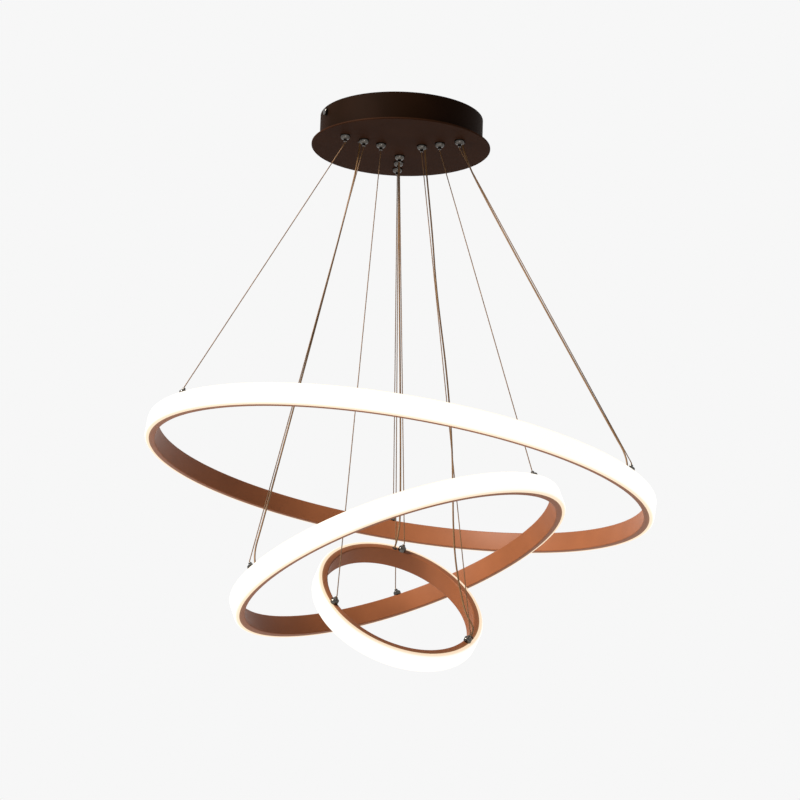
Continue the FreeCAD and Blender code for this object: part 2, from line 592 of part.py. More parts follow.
for ring in RING_NAMES:
    outer = "%s_diameter / 2" % ring
    joint, inner = "(%s - diffuser_depth)" % outer, "(%s - diffuser_depth - channel_depth)" % outer
    channel = turned(ring + "_channel", [
        (inner + " + channel_corner", "-" + half), (joint, "-" + half),
        (joint, "-%s + channel_wall" % half), (inner + " + channel_wall", "-%s + channel_wall" % half),
        (inner + " + channel_wall", half + " - channel_wall"), (joint, half + " - channel_wall"),
        (joint, half), (inner + " + channel_corner", half),
        (inner, half + " - channel_corner"), (inner, "-%s + channel_corner" % half),
    ])
    drills = [rod("%s_stud_hole_%s" % (ring, arm), "anchor_stud_diameter / 2 + %g" % HOLE_GAP,
                  "3 * channel_wall", on_ring_top(ring, angle) * at(0, 0, -2 * size("channel_wall")))
              for arm, angle in ARM_ANGLES.items()]
    entries = {node: place for node, place in entry_places.items() if CORDS[node][0] == ring}
    drills += [rod("entry_for_" + node, "ring_bush_diameter / 2", "3 * channel_wall",
                   place * at(0, 0, -2 * size("channel_wall"))) for node, place in entries.items()]
    copies(ring + "_ring_channel", bored(ring + "_channel_drilled", channel, drills), [ring_place(ring)])
    diffuser = turned(ring + "_diffuser", [
        (joint, "-" + half), (outer + " - diffuser_corner", "-" + half),
        (outer + " - 0.3 * diffuser_corner", "-%s + 0.3 * diffuser_corner" % half),
        (outer, "-%s + diffuser_corner" % half), (outer, half + " - diffuser_corner"),
        (outer + " - 0.3 * diffuser_corner", half + " - 0.3 * diffuser_corner"),
        (outer + " - diffuser_corner", half), (joint, half),
        (joint, half + " - channel_wall"), (joint + " - diffuser_leg", half + " - channel_wall"),
        (joint + " - diffuser_leg", half + " - channel_wall - diffuser_wall"),
        (outer + " - diffuser_corner", half + " - channel_wall - diffuser_wall"),
        (outer + " - diffuser_wall", half + " - diffuser_corner"),
        (outer + " - diffuser_wall", "-%s + diffuser_corner" % half),
        (outer + " - diffuser_corner", "-%s + channel_wall + diffuser_wall" % half),
        (joint + " - diffuser_leg", "-%s + channel_wall + diffuser_wall" % half),
        (joint + " - diffuser_leg", "-%s + channel_wall" % half), (joint, "-%s + channel_wall" % half),
    ])
    copies(ring + "_ring_diffuser", diffuser, [ring_place(ring)])
    strip_foot = inner + " + channel_wall"
    strip = turned(ring + "_strip", [
        (strip_foot, "-strip_height / 2"), (strip_foot + " + strip_thickness", "-strip_height / 2"),
        (strip_foot + " + strip_thickness", "strip_height / 2"), (strip_foot, "strip_height / 2"),
    ])
    copies(ring + "_ring_light_strip", strip, [ring_place(ring)])
    copies(ring + "_ring_anchors", anchor,
           [ring_place(ring) * on_ring_top(ring, angle) for angle in ARM_ANGLES.values()])
    copies(ring + "_ring_cord_bush", ring_bush, [ring_place(ring) * place for place in entries.values()])

# ---- suspension wires -------------------------------------------------------------------------

BEND_ROOM = 0.4      # straight wire between a bend and the plunger or neck beside it
WIRE_SOCKET = 2.0    # end of a wire above the foot of its anchor
wire_ends = {}


def wire_points(ring, arm):
    top = gripper_places[ring, arm].Base
    anchor_place = ring_place(ring) * on_ring_top(ring, ARM_ANGLES[arm])
    up_ring = anchor_place.Rotation.multVec(Z_AXIS)
    neck_top = anchor_place.Base + up_ring * size("anchor_height + anchor_neck_height")
    tip = top + Z_AXIS * size(plunger_foot)
    run = (neck_top - tip).normalize()

    def room(first, second):
        return size("wire_bend") * math.tan(first.getAngle(second) / 2) + BEND_ROOM

    upper = tip - Z_AXIS * room(Z_AXIS * -1, run)
    lower = neck_top + up_ring * room(run, up_ring * -1)
    tail = top + Z_AXIS * size("gripper_thread_length + wire_tail")
    return [tail, upper, lower, anchor_place.Base + up_ring * WIRE_SOCKET]


for ring, arm in GRIPPERS:
    points = wire_points(ring, arm)
    wire_ends[ring, arm] = points[1], points[2]
    wire = doc.addObject("Part::Feature", "wire_%s_ring_%s" % (ring, arm))
    wire.Shape = tube(points, size("wire_diameter"), [size("wire_bend")] * 2)
    keep(wire, wire.Name)

# ---- power cords ------------------------------------------------------------------------------
# From a driver's end face, down through a bush, beside a wire and into the ring. The long runs
# are straight, because the cord is strapped tight to its wire there. The right-hand cord of the
# small ring hangs slack beside its wire instead.

CORD_ROUTES = {
    "cord_big_ring": [
        (65.7, -4.6, -22.5), (69.9, -11.3, -22.5), (72.4, -23.8, -24.5), (73.3, -28.2, -29.0),
        (73.3, -28.2, -46.0), (94.2, -45.4, -99.7), (245.8, -113.2, -396.5), (263.8, -126.9, -432.0),
        (262.0, -127.7, -445.7)],
    "cord_middle_ring": [
        (-65.1, -10.0, -22.5), (-67.8, -15.3, -22.5), (-66.0, -21.5, -22.3), (-60.5, -24.6, -22.3),
        (-54.2, -23.3, -24.0), (-48.7, -20.3, -29.3), (-48.7, -20.3, -47.0), (-56.4, -33.3, -103.9),
        (-139.9, -95.2, -510.9), (-149.0, -108.8, -551.6), (-144.2, -110.8, -564.4)],
    "cord_small_ring_right": [
        (41.2, -51.3, -22.5), (47.2, -51.0, -22.5), (52.0, -46.8, -22.3), (52.6, -40.3, -22.2),
        (48.4, -34.6, -22.4), (40.0, -27.0, -22.2), (35.2, -17.5, -22.6), (31.3, -9.6, -24.6),
        (29.0, -5.0, -29.4), (29.0, -5.0, -46.0), (35.1, -12.9, -100.0), (40.9, -15.9, -150.0),
        (45.4, -18.7, -200.0), (52.0, -21.4, -250.0), (59.6, -24.3, -300.0), (65.5, -27.1, -350.0),
        (69.9, -29.9, -400.0), (72.3, -32.8, -450.0), (73.6, -35.3, -495.0), (76.8, -37.5, -535.0),
        (82.6, -39.0, -568.0), (89.8, -40.5, -597.0), (97.0, -39.5, -609.0), (100.3, -39.5, -616.7),
        (96.0, -30.4, -626.0)],
    "cord_small_ring_far": [
        (-36.8, -54.6, -22.5), (-42.7, -54.8, -22.5), (-47.6, -50.8, -22.3), (-48.3, -44.4, -22.1),
        (-44.2, -38.6, -22.3), (-37.0, -30.6, -22.0), (-33.6, -20.4, -22.3), (-31.5, -7.5, -21.8),
        (-22.5, 8.0, -22.2), (-17.0, 24.5, -21.6), (-10.5, 33.8, -22.9), (-5.6, 37.9, -25.0),
        (-1.7, 40.0, -29.4), (-1.7, 40.0, -46.0), (0.2, 31.9, -110.0), (14.4, 35.0, -470.0),
        (11.2, 31.5, -506.5), (6.9, 40.7, -515.9)],
}


def cord_radii(points):
    """The largest arcs that the runs leave room for: 0.45 of the shorter run to each side."""
    radii = []
    for before, corner, after in zip(points, points[1:], points[2:]):
        first, second = corner - before, after - corner
        shorter = min(first.Length, second.Length)
        radii.append(0.45 * shorter / math.tan(first.getAngle(second) / 2))
    return radii


for node, route in CORD_ROUTES.items():
    points = [Vector(*point) for point in route]
    radii = cord_radii(points)
    cord = doc.addObject("Part::Feature", node)
    cord.Shape = tube(points, size("cord_diameter"), radii)
    keep(cord, node)
    print("%s: length %.0f mm, radii %s" % (
        node, cord.Shape.Volume / (math.pi * size("cord_diameter") ** 2 / 4),
        ", ".join("%.1f" % radius for radius in radii)))

# ---- check and write --------------------------------------------------------------------------

doc.recompute()
for obj in doc.Objects:
    if "Invalid" in obj.State or "Error" in obj.State:
        raise RuntimeError("%s is %s" % (obj.Label, obj.State))
for piece in kept:
    if piece.Shape.isNull() or not piece.Shape.isValid():
        raise RuntimeError(piece.Label + " has no valid shape")

os.makedirs("parts", exist_ok=True)
for piece in kept:
    piece.Shape.exportStep("parts/%s.step" % piece.Label)
print("%d nodes, %d solids" % (len(kept), sum(len(piece.Shape.Solids) for piece in kept)))
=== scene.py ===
# %% [markdown]
# # A chandelier of three tilted light rings
#
# The real lamp is a flat round canopy on the ceiling. Nine steel wires come out of it through
# small chrome grippers, and each of the three rings hangs on three of them. A ring is a
# copper-brown metal channel with a glowing opal diffuser round its outside. We load the solid
# model first, because every piece below is placed from its sizes and moves with its bodies.

# %% The frame
import math

import bmesh
import bpy
from mathutils import Matrix, Vector


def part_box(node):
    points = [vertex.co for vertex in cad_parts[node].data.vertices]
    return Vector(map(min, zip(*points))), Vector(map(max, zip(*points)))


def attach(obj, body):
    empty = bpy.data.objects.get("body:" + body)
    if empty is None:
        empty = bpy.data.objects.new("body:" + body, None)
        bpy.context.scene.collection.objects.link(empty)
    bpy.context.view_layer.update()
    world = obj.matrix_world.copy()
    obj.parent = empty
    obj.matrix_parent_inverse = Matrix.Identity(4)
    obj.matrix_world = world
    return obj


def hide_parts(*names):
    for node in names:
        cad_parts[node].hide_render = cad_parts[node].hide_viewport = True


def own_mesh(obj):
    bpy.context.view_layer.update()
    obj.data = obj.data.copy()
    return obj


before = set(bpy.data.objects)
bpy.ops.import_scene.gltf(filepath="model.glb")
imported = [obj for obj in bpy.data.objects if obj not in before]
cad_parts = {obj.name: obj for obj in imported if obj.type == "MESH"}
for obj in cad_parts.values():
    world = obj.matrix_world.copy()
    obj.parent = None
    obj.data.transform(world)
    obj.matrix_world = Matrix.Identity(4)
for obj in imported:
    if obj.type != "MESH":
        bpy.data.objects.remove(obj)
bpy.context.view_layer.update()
MM = 0.001

# %% [markdown]
# ## Where things are
#
# The rings lean by two turns each, so their sizes are written once here and everything that
# sits on a ring is placed through one matrix. The grippers are simpler: they hang straight down,
# so the loaded model's own boxes say where they are.

# %% Places
RINGS = {
    # outer radius, middle of the ring, turn about X (lean), then about its own Y (roll), and how
    # far its anchors are turned round its axis (spin), in degrees
    "big": dict(radius=300 * MM, middle=(11 * MM, 20 * MM, -430 * MM),
                lean=-3.5, roll=7.7, spin=1.6),
    "middle": dict(radius=200 * MM, middle=(13 * MM, -6 * MM, -532 * MM),
                   lean=-8.8, roll=-20.2, spin=-1.7),
    "small": dict(radius=100 * MM, middle=(13.5 * MM, -16 * MM, -588 * MM),
                  lean=44.4, roll=18.0, spin=0.6),
}
ARMS = {"left": 210.0, "right": 330.0, "far": 90.0}
SECTION_HEIGHT = 24 * MM
CHANNEL_DEPTH = 7 * MM
DIFFUSER_DEPTH = 5 * MM
ANCHOR_NECK = 7.5 * MM     # where a wire leaves its anchor, above the channel


def ring_turn(ring):
    """The ring's two turns, as one rotation."""
    values = RINGS[ring]
    lean = Matrix.Rotation(math.radians(values["lean"]), 4, "X")
    return lean @ Matrix.Rotation(math.radians(values["roll"]), 4, "Y")


def ring_matrix(ring):
    return Matrix.Translation(RINGS[ring]["middle"]) @ ring_turn(ring)


def anchor_matrix(ring, arm):
    """A place on top of the channel, in the middle of its depth, turned outwards."""
    values = RINGS[ring]
    radius = values["radius"] - DIFFUSER_DEPTH - CHANNEL_DEPTH / 2
    turn = Matrix.Rotation(math.radians(ARMS[arm] + values["spin"]), 4, "Z")
    return ring_matrix(ring) @ turn @ Matrix.Translation((radius, 0, SECTION_HEIGHT / 2))


def gripper_tip(ring, arm):
    """The lower end of a gripper's plunger, where its wire comes out."""
    low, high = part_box("plunger_%s_ring_%s" % (ring, arm))
    return Vector(((low[0] + high[0]) / 2, (low[1] + high[1]) / 2, low[2]))


plate_low, plate_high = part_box("canopy_face_plate")
print("face plate %.1f mm across" % ((plate_high[0] - plate_low[0]) / MM))

# %% [markdown]
# ## The camera
#
# The photograph looks slightly up at the lamp from 2.7 m away, with a long lens. The camera is
# written as a place and three small turns, so it can be read as someone would set up a tripod.

# %% Camera
CAMERA_PLACE = Vector((0.0, -2.7039, -0.9478))
LOOK_UP = 0.21942          # radians above level
LOOK_RIGHT = 0.00321
ROLL = 0.03206
LENS = 106.67              # mm, on a 36 mm sensor

ahead = Vector((math.sin(LOOK_RIGHT) * math.cos(LOOK_UP), math.cos(LOOK_RIGHT) * math.cos(LOOK_UP),
                math.sin(LOOK_UP)))
level_right = Vector((math.cos(LOOK_RIGHT), -math.sin(LOOK_RIGHT), 0.0))
level_up = level_right.cross(ahead)
right = level_right * math.cos(ROLL) + level_up * math.sin(ROLL)
up = level_up * math.cos(ROLL) - level_right * math.sin(ROLL)
camera = bpy.data.objects.new("camera", bpy.data.cameras.new("camera"))
bpy.context.scene.collection.objects.link(camera)
camera.matrix_world = Matrix((
    (right.x, up.x, -ahead.x, CAMERA_PLACE.x),
    (right.y, up.y, -ahead.y, CAMERA_PLACE.y),
    (right.z, up.z, -ahead.z, CAMERA_PLACE.z),
    (0, 0, 0, 1)))
camera.data.sensor_width = 36.0
camera.data.lens = LENS
bpy.context.scene.camera = camera
bpy.context.scene.view_settings.view_transform = "Standard"

# %% [markdown]
# ## Small tools for materials
#
# Every finish is a Principled shader whose colour, roughness and bump come from nodes. These
# helpers only save typing: one adds a node, one joins two sockets, one makes a colour ramp.
# `srgb` turns a colour as one reads it off a screen into the linear one that the shader wants.


# %% Node helpers
def srgb(red, green, blue):
    def linear(value):
        share = value / 255
        return share / 12.92 if share <= 0.04045 else ((share + 0.055) / 1.055) ** 2.4
    return (linear(red), linear(green), linear(blue), 1.0)


def add(tree, kind, inputs=None, **settings):
    made = tree.nodes.new(kind)
    for key, value in settings.items():
        setattr(made, key, value)
    for key, value in (inputs or {}).items():
        made.inputs[key].default_value = value
    return made


def join(tree, source, target):
    tree.links.new(source, target)


def ramp(tree, factor, stops):
    """A colour ramp through (position, colour) stops."""
    made = tree.nodes.new("ShaderNodeValToRGB")
    elements = made.color_ramp.elements
    while len(elements) < len(stops):
        elements.new(0.5)
    for element, (position, colour) in zip(elements, stops):
        element.position = position
        element.color = colour
    join(tree, factor, made.inputs["Fac"])
    return made.outputs["Color"]


def finish_named(name, roughness, metallic=0.0, sockets=None):
    """A material with its Principled shader's plain sockets set."""
    made = bpy.data.materials.new(name)
    made.use_nodes = True
    shader = made.node_tree.nodes["Principled BSDF"]
    shader.inputs["Roughness"].default_value = roughness
    shader.inputs["Metallic"].default_value = metallic
    for key, value in (sockets or {}).items():
        shader.inputs[key].default_value = value
    return made, made.node_tree, shader


def object_noise(tree, scale, detail=3.0, stretch=(1, 1, 1)):
    place = add(tree, "ShaderNodeTexCoord")
    mapping = add(tree, "ShaderNodeMapping", {"Scale": stretch})
    join(tree, place.outputs["Object"], mapping.inputs["Vector"])
    noise = add(tree, "ShaderNodeTexNoise", {"Scale": scale, "Detail": detail})
    join(tree, mapping.outputs["Vector"], noise.inputs["Vector"])
    return noise.outputs["Fac"]


def bump(tree, shader, height, strength, distance):
    made = add(tree, "ShaderNodeBump", {"Strength": strength, "Distance": distance})
    join(tree, height, made.inputs["Height"])
    join(tree, made.outputs["Normal"], shader.inputs["Normal"])


def speckled(name, dark, light, scale, roughness, metallic=0.0, grain=0.15, sockets=None):
    """A finish whose colour drifts between two near tones, with a fine bump of the same grain."""
    made, tree, shader = finish_named(name, roughness, metallic, sockets)
    noise = object_noise(tree, scale)
    join(tree, ramp(tree, noise, [(0.3, dark), (0.7, light)]), shader.inputs["Base Color"])
    fine = object_noise(tree, scale * 14, detail=2.0)
    bump(tree, shader, fine, grain, 0.02 * MM)
    return made


# %% [markdown]
# ## Finishes of the canopy and its fittings
#
# The canopy is sprayed in a dark coffee brown. Sprayed paint is never quite flat, so it gets a
# slow drift in colour and the faint orange-peel bump of a sprayed coat. The chrome of the
# grippers and anchors is clean and smooth, with its colour painted dark as a painted reflection
# of dark surroundings, and the hidden steel is dull zinc.

# %% Canopy finishes
MATT = {"Specular IOR Level": 0.03}
PAINT = speckled("coffee_paint", srgb(47, 26, 14), srgb(54, 31, 18), 22, 0.65, grain=0.25, sockets=MATT)
# The drum's wall is the same coffee paint in a darker copy: painted shade on the wall.
PAINT_SHADED_WALL = speckled("coffee_paint_shaded_wall", srgb(24, 11, 3), srgb(30, 15, 6), 22, 0.65, grain=0.25,
                      sockets=MATT)
# The chrome's colour is painted dark: a painted reflection of the dark room the polished metal mirrors.
PAINTED_DARK_CHROME = speckled("chrome_painted_dark", srgb(78, 75, 72), srgb(90, 87, 82), 60, 0.07, 1.0, grain=0.02)
ZINC = speckled("zinc_plate", srgb(150, 152, 150), srgb(178, 178, 172), 160, 0.42, 0.9, grain=0.3)
SPRING = speckled("spring_steel", srgb(140, 140, 142), srgb(168, 168, 168), 300, 0.25, 1.0, grain=0.1)
DRIVER = speckled("driver_plastic", srgb(216, 216, 212), srgb(228, 228, 224), 120, 0.5, grain=0.4)
TERMINAL = speckled("terminal_plastic", srgb(204, 198, 178), srgb(216, 210, 190), 150, 0.45, grain=0.3)
RUBBER = speckled("bush_rubber", srgb(38, 25, 18), srgb(48, 34, 26), 200, 0.7, grain=0.5)
print("canopy finishes made")

# %% [markdown]
# ## Finishes of the wires and cords
#
# Each suspension wire is a small steel rope in a warm brown coat. The strands themselves are
# modelled further down, so the material only needs a tone that is a little darker in places, and
# no metal shine: a thin bright wire would vanish against a pale room.
# A power cord has a clear jacket over two golden conductors: from a step away it looks like
# amber plastic, a touch lighter than the wire beside it.

# %% Wire and cord finishes
WIRE = speckled("steel_rope", srgb(108, 76, 44), srgb(138, 103, 68), 90, 0.5, 0.0, grain=0.2)
CORD, cord_tree, cord_shader = finish_named("clear_cord", 0.35, 0.0, {"Specular IOR Level": 0.3})
cord_tone = object_noise(cord_tree, 60)
join(cord_tree, ramp(cord_tree, cord_tone, [(0.3, srgb(116, 84, 50)), (0.7, srgb(142, 108, 72))]),
     cord_shader.inputs["Base Color"])
bump(cord_tree, cord_shader, object_noise(cord_tree, 900), 0.1, 0.02 * MM)
print("wire and cord finishes made")

# %% [markdown]
# ## Finishes of the rings
#
# The channel's coating turns from copper to almost black with the light on it, and next to the
# diffuser a little light creeps over its edge. That glow follows the ring, not the room, so each
# ring's material first turns Object coordinates into the ring's own frame with a Mapping node.
# The distance from the ring's axis then says how near to the diffuser a point is.


# %% Ring coordinates
def ring_coordinates(tree, ring):
    """Sockets, in metres: how far in from the outer edge, how high, and the ring's own place."""
    place = add(tree, "ShaderNodeTexCoord")
    turn = ring_turn(ring).to_euler()
    mapping = add(tree, "ShaderNodeMapping",
                  {"Location": RINGS[ring]["middle"], "Rotation": tuple(turn)}, vector_type="TEXTURE")
    join(tree, place.outputs["Object"], mapping.inputs["Vector"])
    split = add(tree, "ShaderNodeSeparateXYZ")
    join(tree, mapping.outputs["Vector"], split.inputs["Vector"])
    flat = add(tree, "ShaderNodeCombineXYZ")
    join(tree, split.outputs["X"], flat.inputs["X"])
    join(tree, split.outputs["Y"], flat.inputs["Y"])
    length = add(tree, "ShaderNodeVectorMath", operation="LENGTH")
    join(tree, flat.outputs["Vector"], length.inputs[0])
    depth = add(tree, "ShaderNodeMath", {0: RINGS[ring]["radius"]}, operation="SUBTRACT")
    join(tree, length.outputs["Value"], depth.inputs[1])
    return depth.outputs["Value"], split.outputs["Z"], mapping.outputs["Vector"]


def span(tree, value, low, high):
    """Runs from 0 at low to 1 at high, and stays there."""
    made = add(tree, "ShaderNodeMapRange", {"From Min": low, "From Max": high})
    join(tree, value, made.inputs["Value"])
    return made.outputs["Result"]


# %% Channel and diffuser materials
GLOW_REACH = 3.2 * MM      # how far the diffuser's light creeps over the channel
DIM_EDGE = 2.6 * MM        # the diffuser's upper and lower edges are less bright
DIM_INSIDE = 1.2 * MM      # and so is the strip where it meets the channel


def channel_finish(ring):
    made, tree, shader = finish_named(ring + "_copper_brown", 0.45, 0.0, {"Specular IOR Level": 0.2})
    depth, _, local = ring_coordinates(tree, ring)
    near = span(tree, depth, DIFFUSER_DEPTH, DIFFUSER_DEPTH + GLOW_REACH)
    glow = ramp(tree, near, [(0.0, srgb(222, 182, 140)), (0.25, srgb(166, 110, 74)),
                             (1.0, srgb(158, 95, 59))])
    noise = add(tree, "ShaderNodeTexNoise", {"Scale": 30.0, "Detail": 4.0})
    join(tree, local, noise.inputs["Vector"])
    drift = ramp(tree, noise.outputs["Fac"], [(0.3, (0.88, 0.88, 0.88, 1)), (0.7, (1, 1, 1, 1))])
    mixed = add(tree, "ShaderNodeMix", {"Factor": 1.0}, data_type="RGBA", blend_type="MULTIPLY")
    join(tree, glow, mixed.inputs["A"])
    join(tree, drift, mixed.inputs["B"])
    join(tree, mixed.outputs["Result"], shader.inputs["Base Color"])
    fine = add(tree, "ShaderNodeTexNoise", {"Scale": 700.0, "Detail": 2.0})
    join(tree, local, fine.inputs["Vector"])
    bump(tree, shader, fine.outputs["Fac"], 0.12, 0.02 * MM)
    return made


def diffuser_finish(ring):
    made, tree, shader = finish_named(ring + "_opal", 0.45)
    depth, height, _ = ring_coordinates(tree, ring)
    shader.inputs["Base Color"].default_value = srgb(120, 112, 100)
    steep = add(tree, "ShaderNodeMath", operation="ABSOLUTE")
    join(tree, height, steep.inputs[0])
    edge = span(tree, steep.outputs["Value"], SECTION_HEIGHT / 2 - DIM_EDGE, SECTION_HEIGHT / 2)
    inward = span(tree, depth, DIFFUSER_DEPTH - DIM_INSIDE, DIFFUSER_DEPTH)
    worst = add(tree, "ShaderNodeMath", operation="MAXIMUM")
    join(tree, edge, worst.inputs[0])
    join(tree, inward, worst.inputs[1])
    light = ramp(tree, worst.outputs["Value"], [(0.0, srgb(255, 253, 246)), (0.5, srgb(255, 249, 238)),
                                                (1.0, srgb(236, 210, 180))])
    join(tree, light, shader.inputs["Emission Color"])
    shader.inputs["Emission Strength"].default_value = 1.0
    return made


CHANNEL = {ring: channel_finish(ring) for ring in RINGS}
OPAL = {ring: diffuser_finish(ring) for ring in RINGS}
print("ring finishes made for", ", ".join(RINGS))

# %% [markdown]
# ## Turning a section into a ring
#
# Channel, diffuser, gripper and anchor are all one flat section swept round a circle, so one
# Geometry Nodes tree makes them all. Curve to Mesh carries the section along a circle of the
# wanted radius. The section is a closed curve whose x is the distance outwards from that circle
# and whose y points down. Sharp corners stay sharp, because edges over 30 degrees are marked so.


# %% The sweep tree
def start_tree(name, inputs):
    """A Geometry Nodes tree with its geometry sockets and the named inputs."""
    tree = bpy.data.node_groups.new(name, "GeometryNodeTree")
    tree.is_modifier = True
    tree.interface.new_socket("Geometry", in_out="INPUT", socket_type="NodeSocketGeometry")
    for label, kind in inputs:
        tree.interface.new_socket(label, in_out="INPUT", socket_type=kind)
    tree.interface.new_socket("Geometry", in_out="OUTPUT", socket_type="NodeSocketGeometry")
    return tree, add(tree, "NodeGroupInput"), add(tree, "NodeGroupOutput")


def end_tree(tree, geometry, entry, leave):
    """Every tree ends in real geometry with its finish on it."""
    realize = add(tree, "GeometryNodeRealizeInstances")
    coat = add(tree, "GeometryNodeSetMaterial")
    join(tree, geometry, realize.inputs["Geometry"])
    join(tree, realize.outputs["Geometry"], coat.inputs["Geometry"])
    join(tree, entry.outputs["Finish"], coat.inputs["Material"])
    join(tree, coat.outputs["Geometry"], leave.inputs["Geometry"])


SWEEP, sweep_in, sweep_out = start_tree("section_round_a_circle", [
    ("Radius", "NodeSocketFloat"), ("Steps", "NodeSocketInt"), ("Finish", "NodeSocketMaterial")])
circle = add(SWEEP, "GeometryNodeCurvePrimitiveCircle")
join(SWEEP, sweep_in.outputs["Radius"], circle.inputs["Radius"])
join(SWEEP, sweep_in.outputs["Steps"], circle.inputs["Resolution"])
swept = add(SWEEP, "GeometryNodeCurveToMesh")
join(SWEEP, circle.outputs["Curve"], swept.inputs["Curve"])
join(SWEEP, sweep_in.outputs["Geometry"], swept.inputs["Profile Curve"])
end_tree(SWEEP, swept.outputs["Mesh"], sweep_in, sweep_out)


def run_tree(source, tree, **values):
    """The plain mesh that a tree makes of an object, which is then thrown away."""
    modifier = source.modifiers.new(tree.name, "NODES")
    modifier.node_group = tree
    for label, value in values.items():
        modifier[tree.interface.items_tree[label].identifier] = value
    evaluated = source.evaluated_get(bpy.context.evaluated_depsgraph_get())
    mesh = bpy.data.meshes.new_from_object(evaluated)
    bpy.data.objects.remove(source)
    return mesh


def face_outwards(mesh, merge=False):
    """Turns an inside-out closed mesh round. merge=True first joins points that coincide."""
    shape = bmesh.new()
    shape.from_mesh(mesh)
    if merge:
        bmesh.ops.remove_doubles(shape, verts=shape.verts, dist=1e-7)
    if shape.calc_volume(signed=True) < 0:
        bmesh.ops.reverse_faces(shape, faces=shape.faces)
    shape.to_mesh(mesh)
    shape.free()


def placed(name, mesh, sharp=30):
    """A finished piece at the origin, smooth except at its sharp corners."""
    mesh.shade_smooth()
    mesh.set_sharp_from_angle(angle=math.radians(sharp))
    piece = bpy.data.objects.new(name, mesh)
    bpy.context.scene.collection.objects.link(piece)
    return piece


# %% [markdown]
# A real section has small rounded corners, which catch a thin line of light. `rounded` takes the
# corners of a section with the radius of each, and gives back its outline with short arcs there.


# %% Rounded outlines
def rounded(corners, steps=6):
    """Outline points in metres, from corners in mm: (across, up) or (across, up, radius)."""
    outline = []
    count = len(corners)
    for i, corner in enumerate(corners):
        here = Vector(corner[:2])
        if len(corner) == 2:
            outline.append(here)
            continue
        before = (Vector(corners[i - 1][:2]) - here).normalized()
        after = (Vector(corners[(i + 1) % count][:2]) - here).normalized()
        half = before.angle(after) / 2
        middle = here + (before + after).normalized() * corner[2] / math.sin(half)
        start = here + before * corner[2] / math.tan(half) - middle
        end = here + after * corner[2] / math.tan(half) - middle
        for step in range(steps + 1):
            part = start.lerp(end, step / steps)
            outline.append(middle + part.normalized() * corner[2])
    return [point * MM for point in outline]


ON_AXIS = 1e-9             # a circle needs some radius, even where the section starts at the axis


def swept_mesh(outline, radius, steps, finish):
    """An outline turned round the Z axis: across is added to the radius, up is height."""
    curve = bpy.data.curves.new("section", "CURVE")
    curve.dimensions = "2D"
    line = curve.splines.new("POLY")
    line.points.add(len(outline) - 1)
    for spot, point in zip(line.points, outline):
        spot.co = (point.x, -point.y, 0.0, 1.0)
    line.use_cyclic_u = True
    source = bpy.data.objects.new("section", curve)
    bpy.context.scene.collection.objects.link(source)
    mesh = run_tree(source, SWEEP, Radius=radius, Steps=steps, Finish=finish)
    face_outwards(mesh, merge=True)
    return mesh


# %% [markdown]
# ## The three rings
#
# All three rings share one section. On its inner side is the sheet channel, open towards the
# outside, and the opal diffuser snaps over that open side. Both are hollow, because that is how
# they are made, and the light strip sits on the channel's back wall inside.

# %% Channels and diffusers
CHANNEL_SECTION = [(-12, -12, 1.4), (-5, -12, 0.3), (-5, -10.8), (-10.8, -10.8, 0.5),
                   (-10.8, 10.8, 0.5), (-5, 10.8), (-5, 12, 0.3), (-12, 12, 1.4)]
DIFFUSER_SECTION = [(-5, -12), (0, -12, 3.4), (0, 12, 3.4), (-5, 12), (-5, 10.8), (-1.2, 10.8, 2.2),
                    (-1.2, -10.8, 2.2), (-5, -10.8)]
for ring, values in RINGS.items():
    steps = int(96 + 160 * values["radius"] / (300 * MM))
    for part, section, finish in (("channel", CHANNEL_SECTION, CHANNEL[ring]),
                                  ("diffuser", DIFFUSER_SECTION, OPAL[ring])):
        mesh = swept_mesh(rounded(section), values["radius"], steps, finish)
        mesh.transform(ring_matrix(ring))
        node = "%s_ring_%s" % (ring, part)
        piece = placed(node + "_smooth", mesh)
        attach(piece, ring + "_ring")
        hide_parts(node)
    print("%s ring: %d steps round" % (ring, steps))

# %% [markdown]
# ## Grippers and anchors
#
# Nine grippers stick out of the canopy and nine anchors stand on the rings. Each kind is one
# small turned part, repeated, so a second tree puts a copy on every point of a little cloud.
# Each point also carries the turn that its copy needs, because the rings are tilted.

# %% The tree that copies a part
COPIES, copies_in, copies_out = start_tree("a_part_on_each_place", [
    ("Part", "NodeSocketObject"), ("Finish", "NodeSocketMaterial")])
part_info = add(COPIES, "GeometryNodeObjectInfo")
join(COPIES, copies_in.outputs["Part"], part_info.inputs["Object"])
turn_read = add(COPIES, "GeometryNodeInputNamedAttribute", {"Name": "turn"}, data_type="FLOAT_VECTOR")
on_points = add(COPIES, "GeometryNodeInstanceOnPoints")
join(COPIES, copies_in.outputs["Geometry"], on_points.inputs["Points"])
join(COPIES, part_info.outputs["Geometry"], on_points.inputs["Instance"])
join(COPIES, turn_read.outputs["Attribute"], on_points.inputs["Rotation"])
end_tree(COPIES, on_points.outputs["Instances"], copies_in, copies_out)


def copied(name, part_mesh, places, finish):
    """One mesh with a copy of the part at each place, given as matrices."""
    cloud = bpy.data.meshes.new(name + "_places")
    cloud.from_pydata([place.to_translation() for place in places], [], [])
    turns = cloud.attributes.new("turn", "FLOAT_VECTOR", "POINT")
    for spot, place in zip(turns.data, places):
        spot.vector = place.to_euler()
    source = bpy.data.objects.new(name + "_places", cloud)
    part = bpy.data.objects.new(name + "_part", part_mesh)
    for made in (source, part):
        bpy.context.scene.collection.objects.link(made)
    mesh = run_tree(source, COPIES, Part=part, Finish=finish)
    bpy.data.objects.remove(part)
    return placed(name, mesh)


# %% [markdown]
# A gripper is a smooth chrome dome with a flat nose, and its thread goes up through the plate.
# Polished metal shows its surroundings, and only a round form gathers them into small spots of
# light. So the dome's profile is an arc, and not a cone.

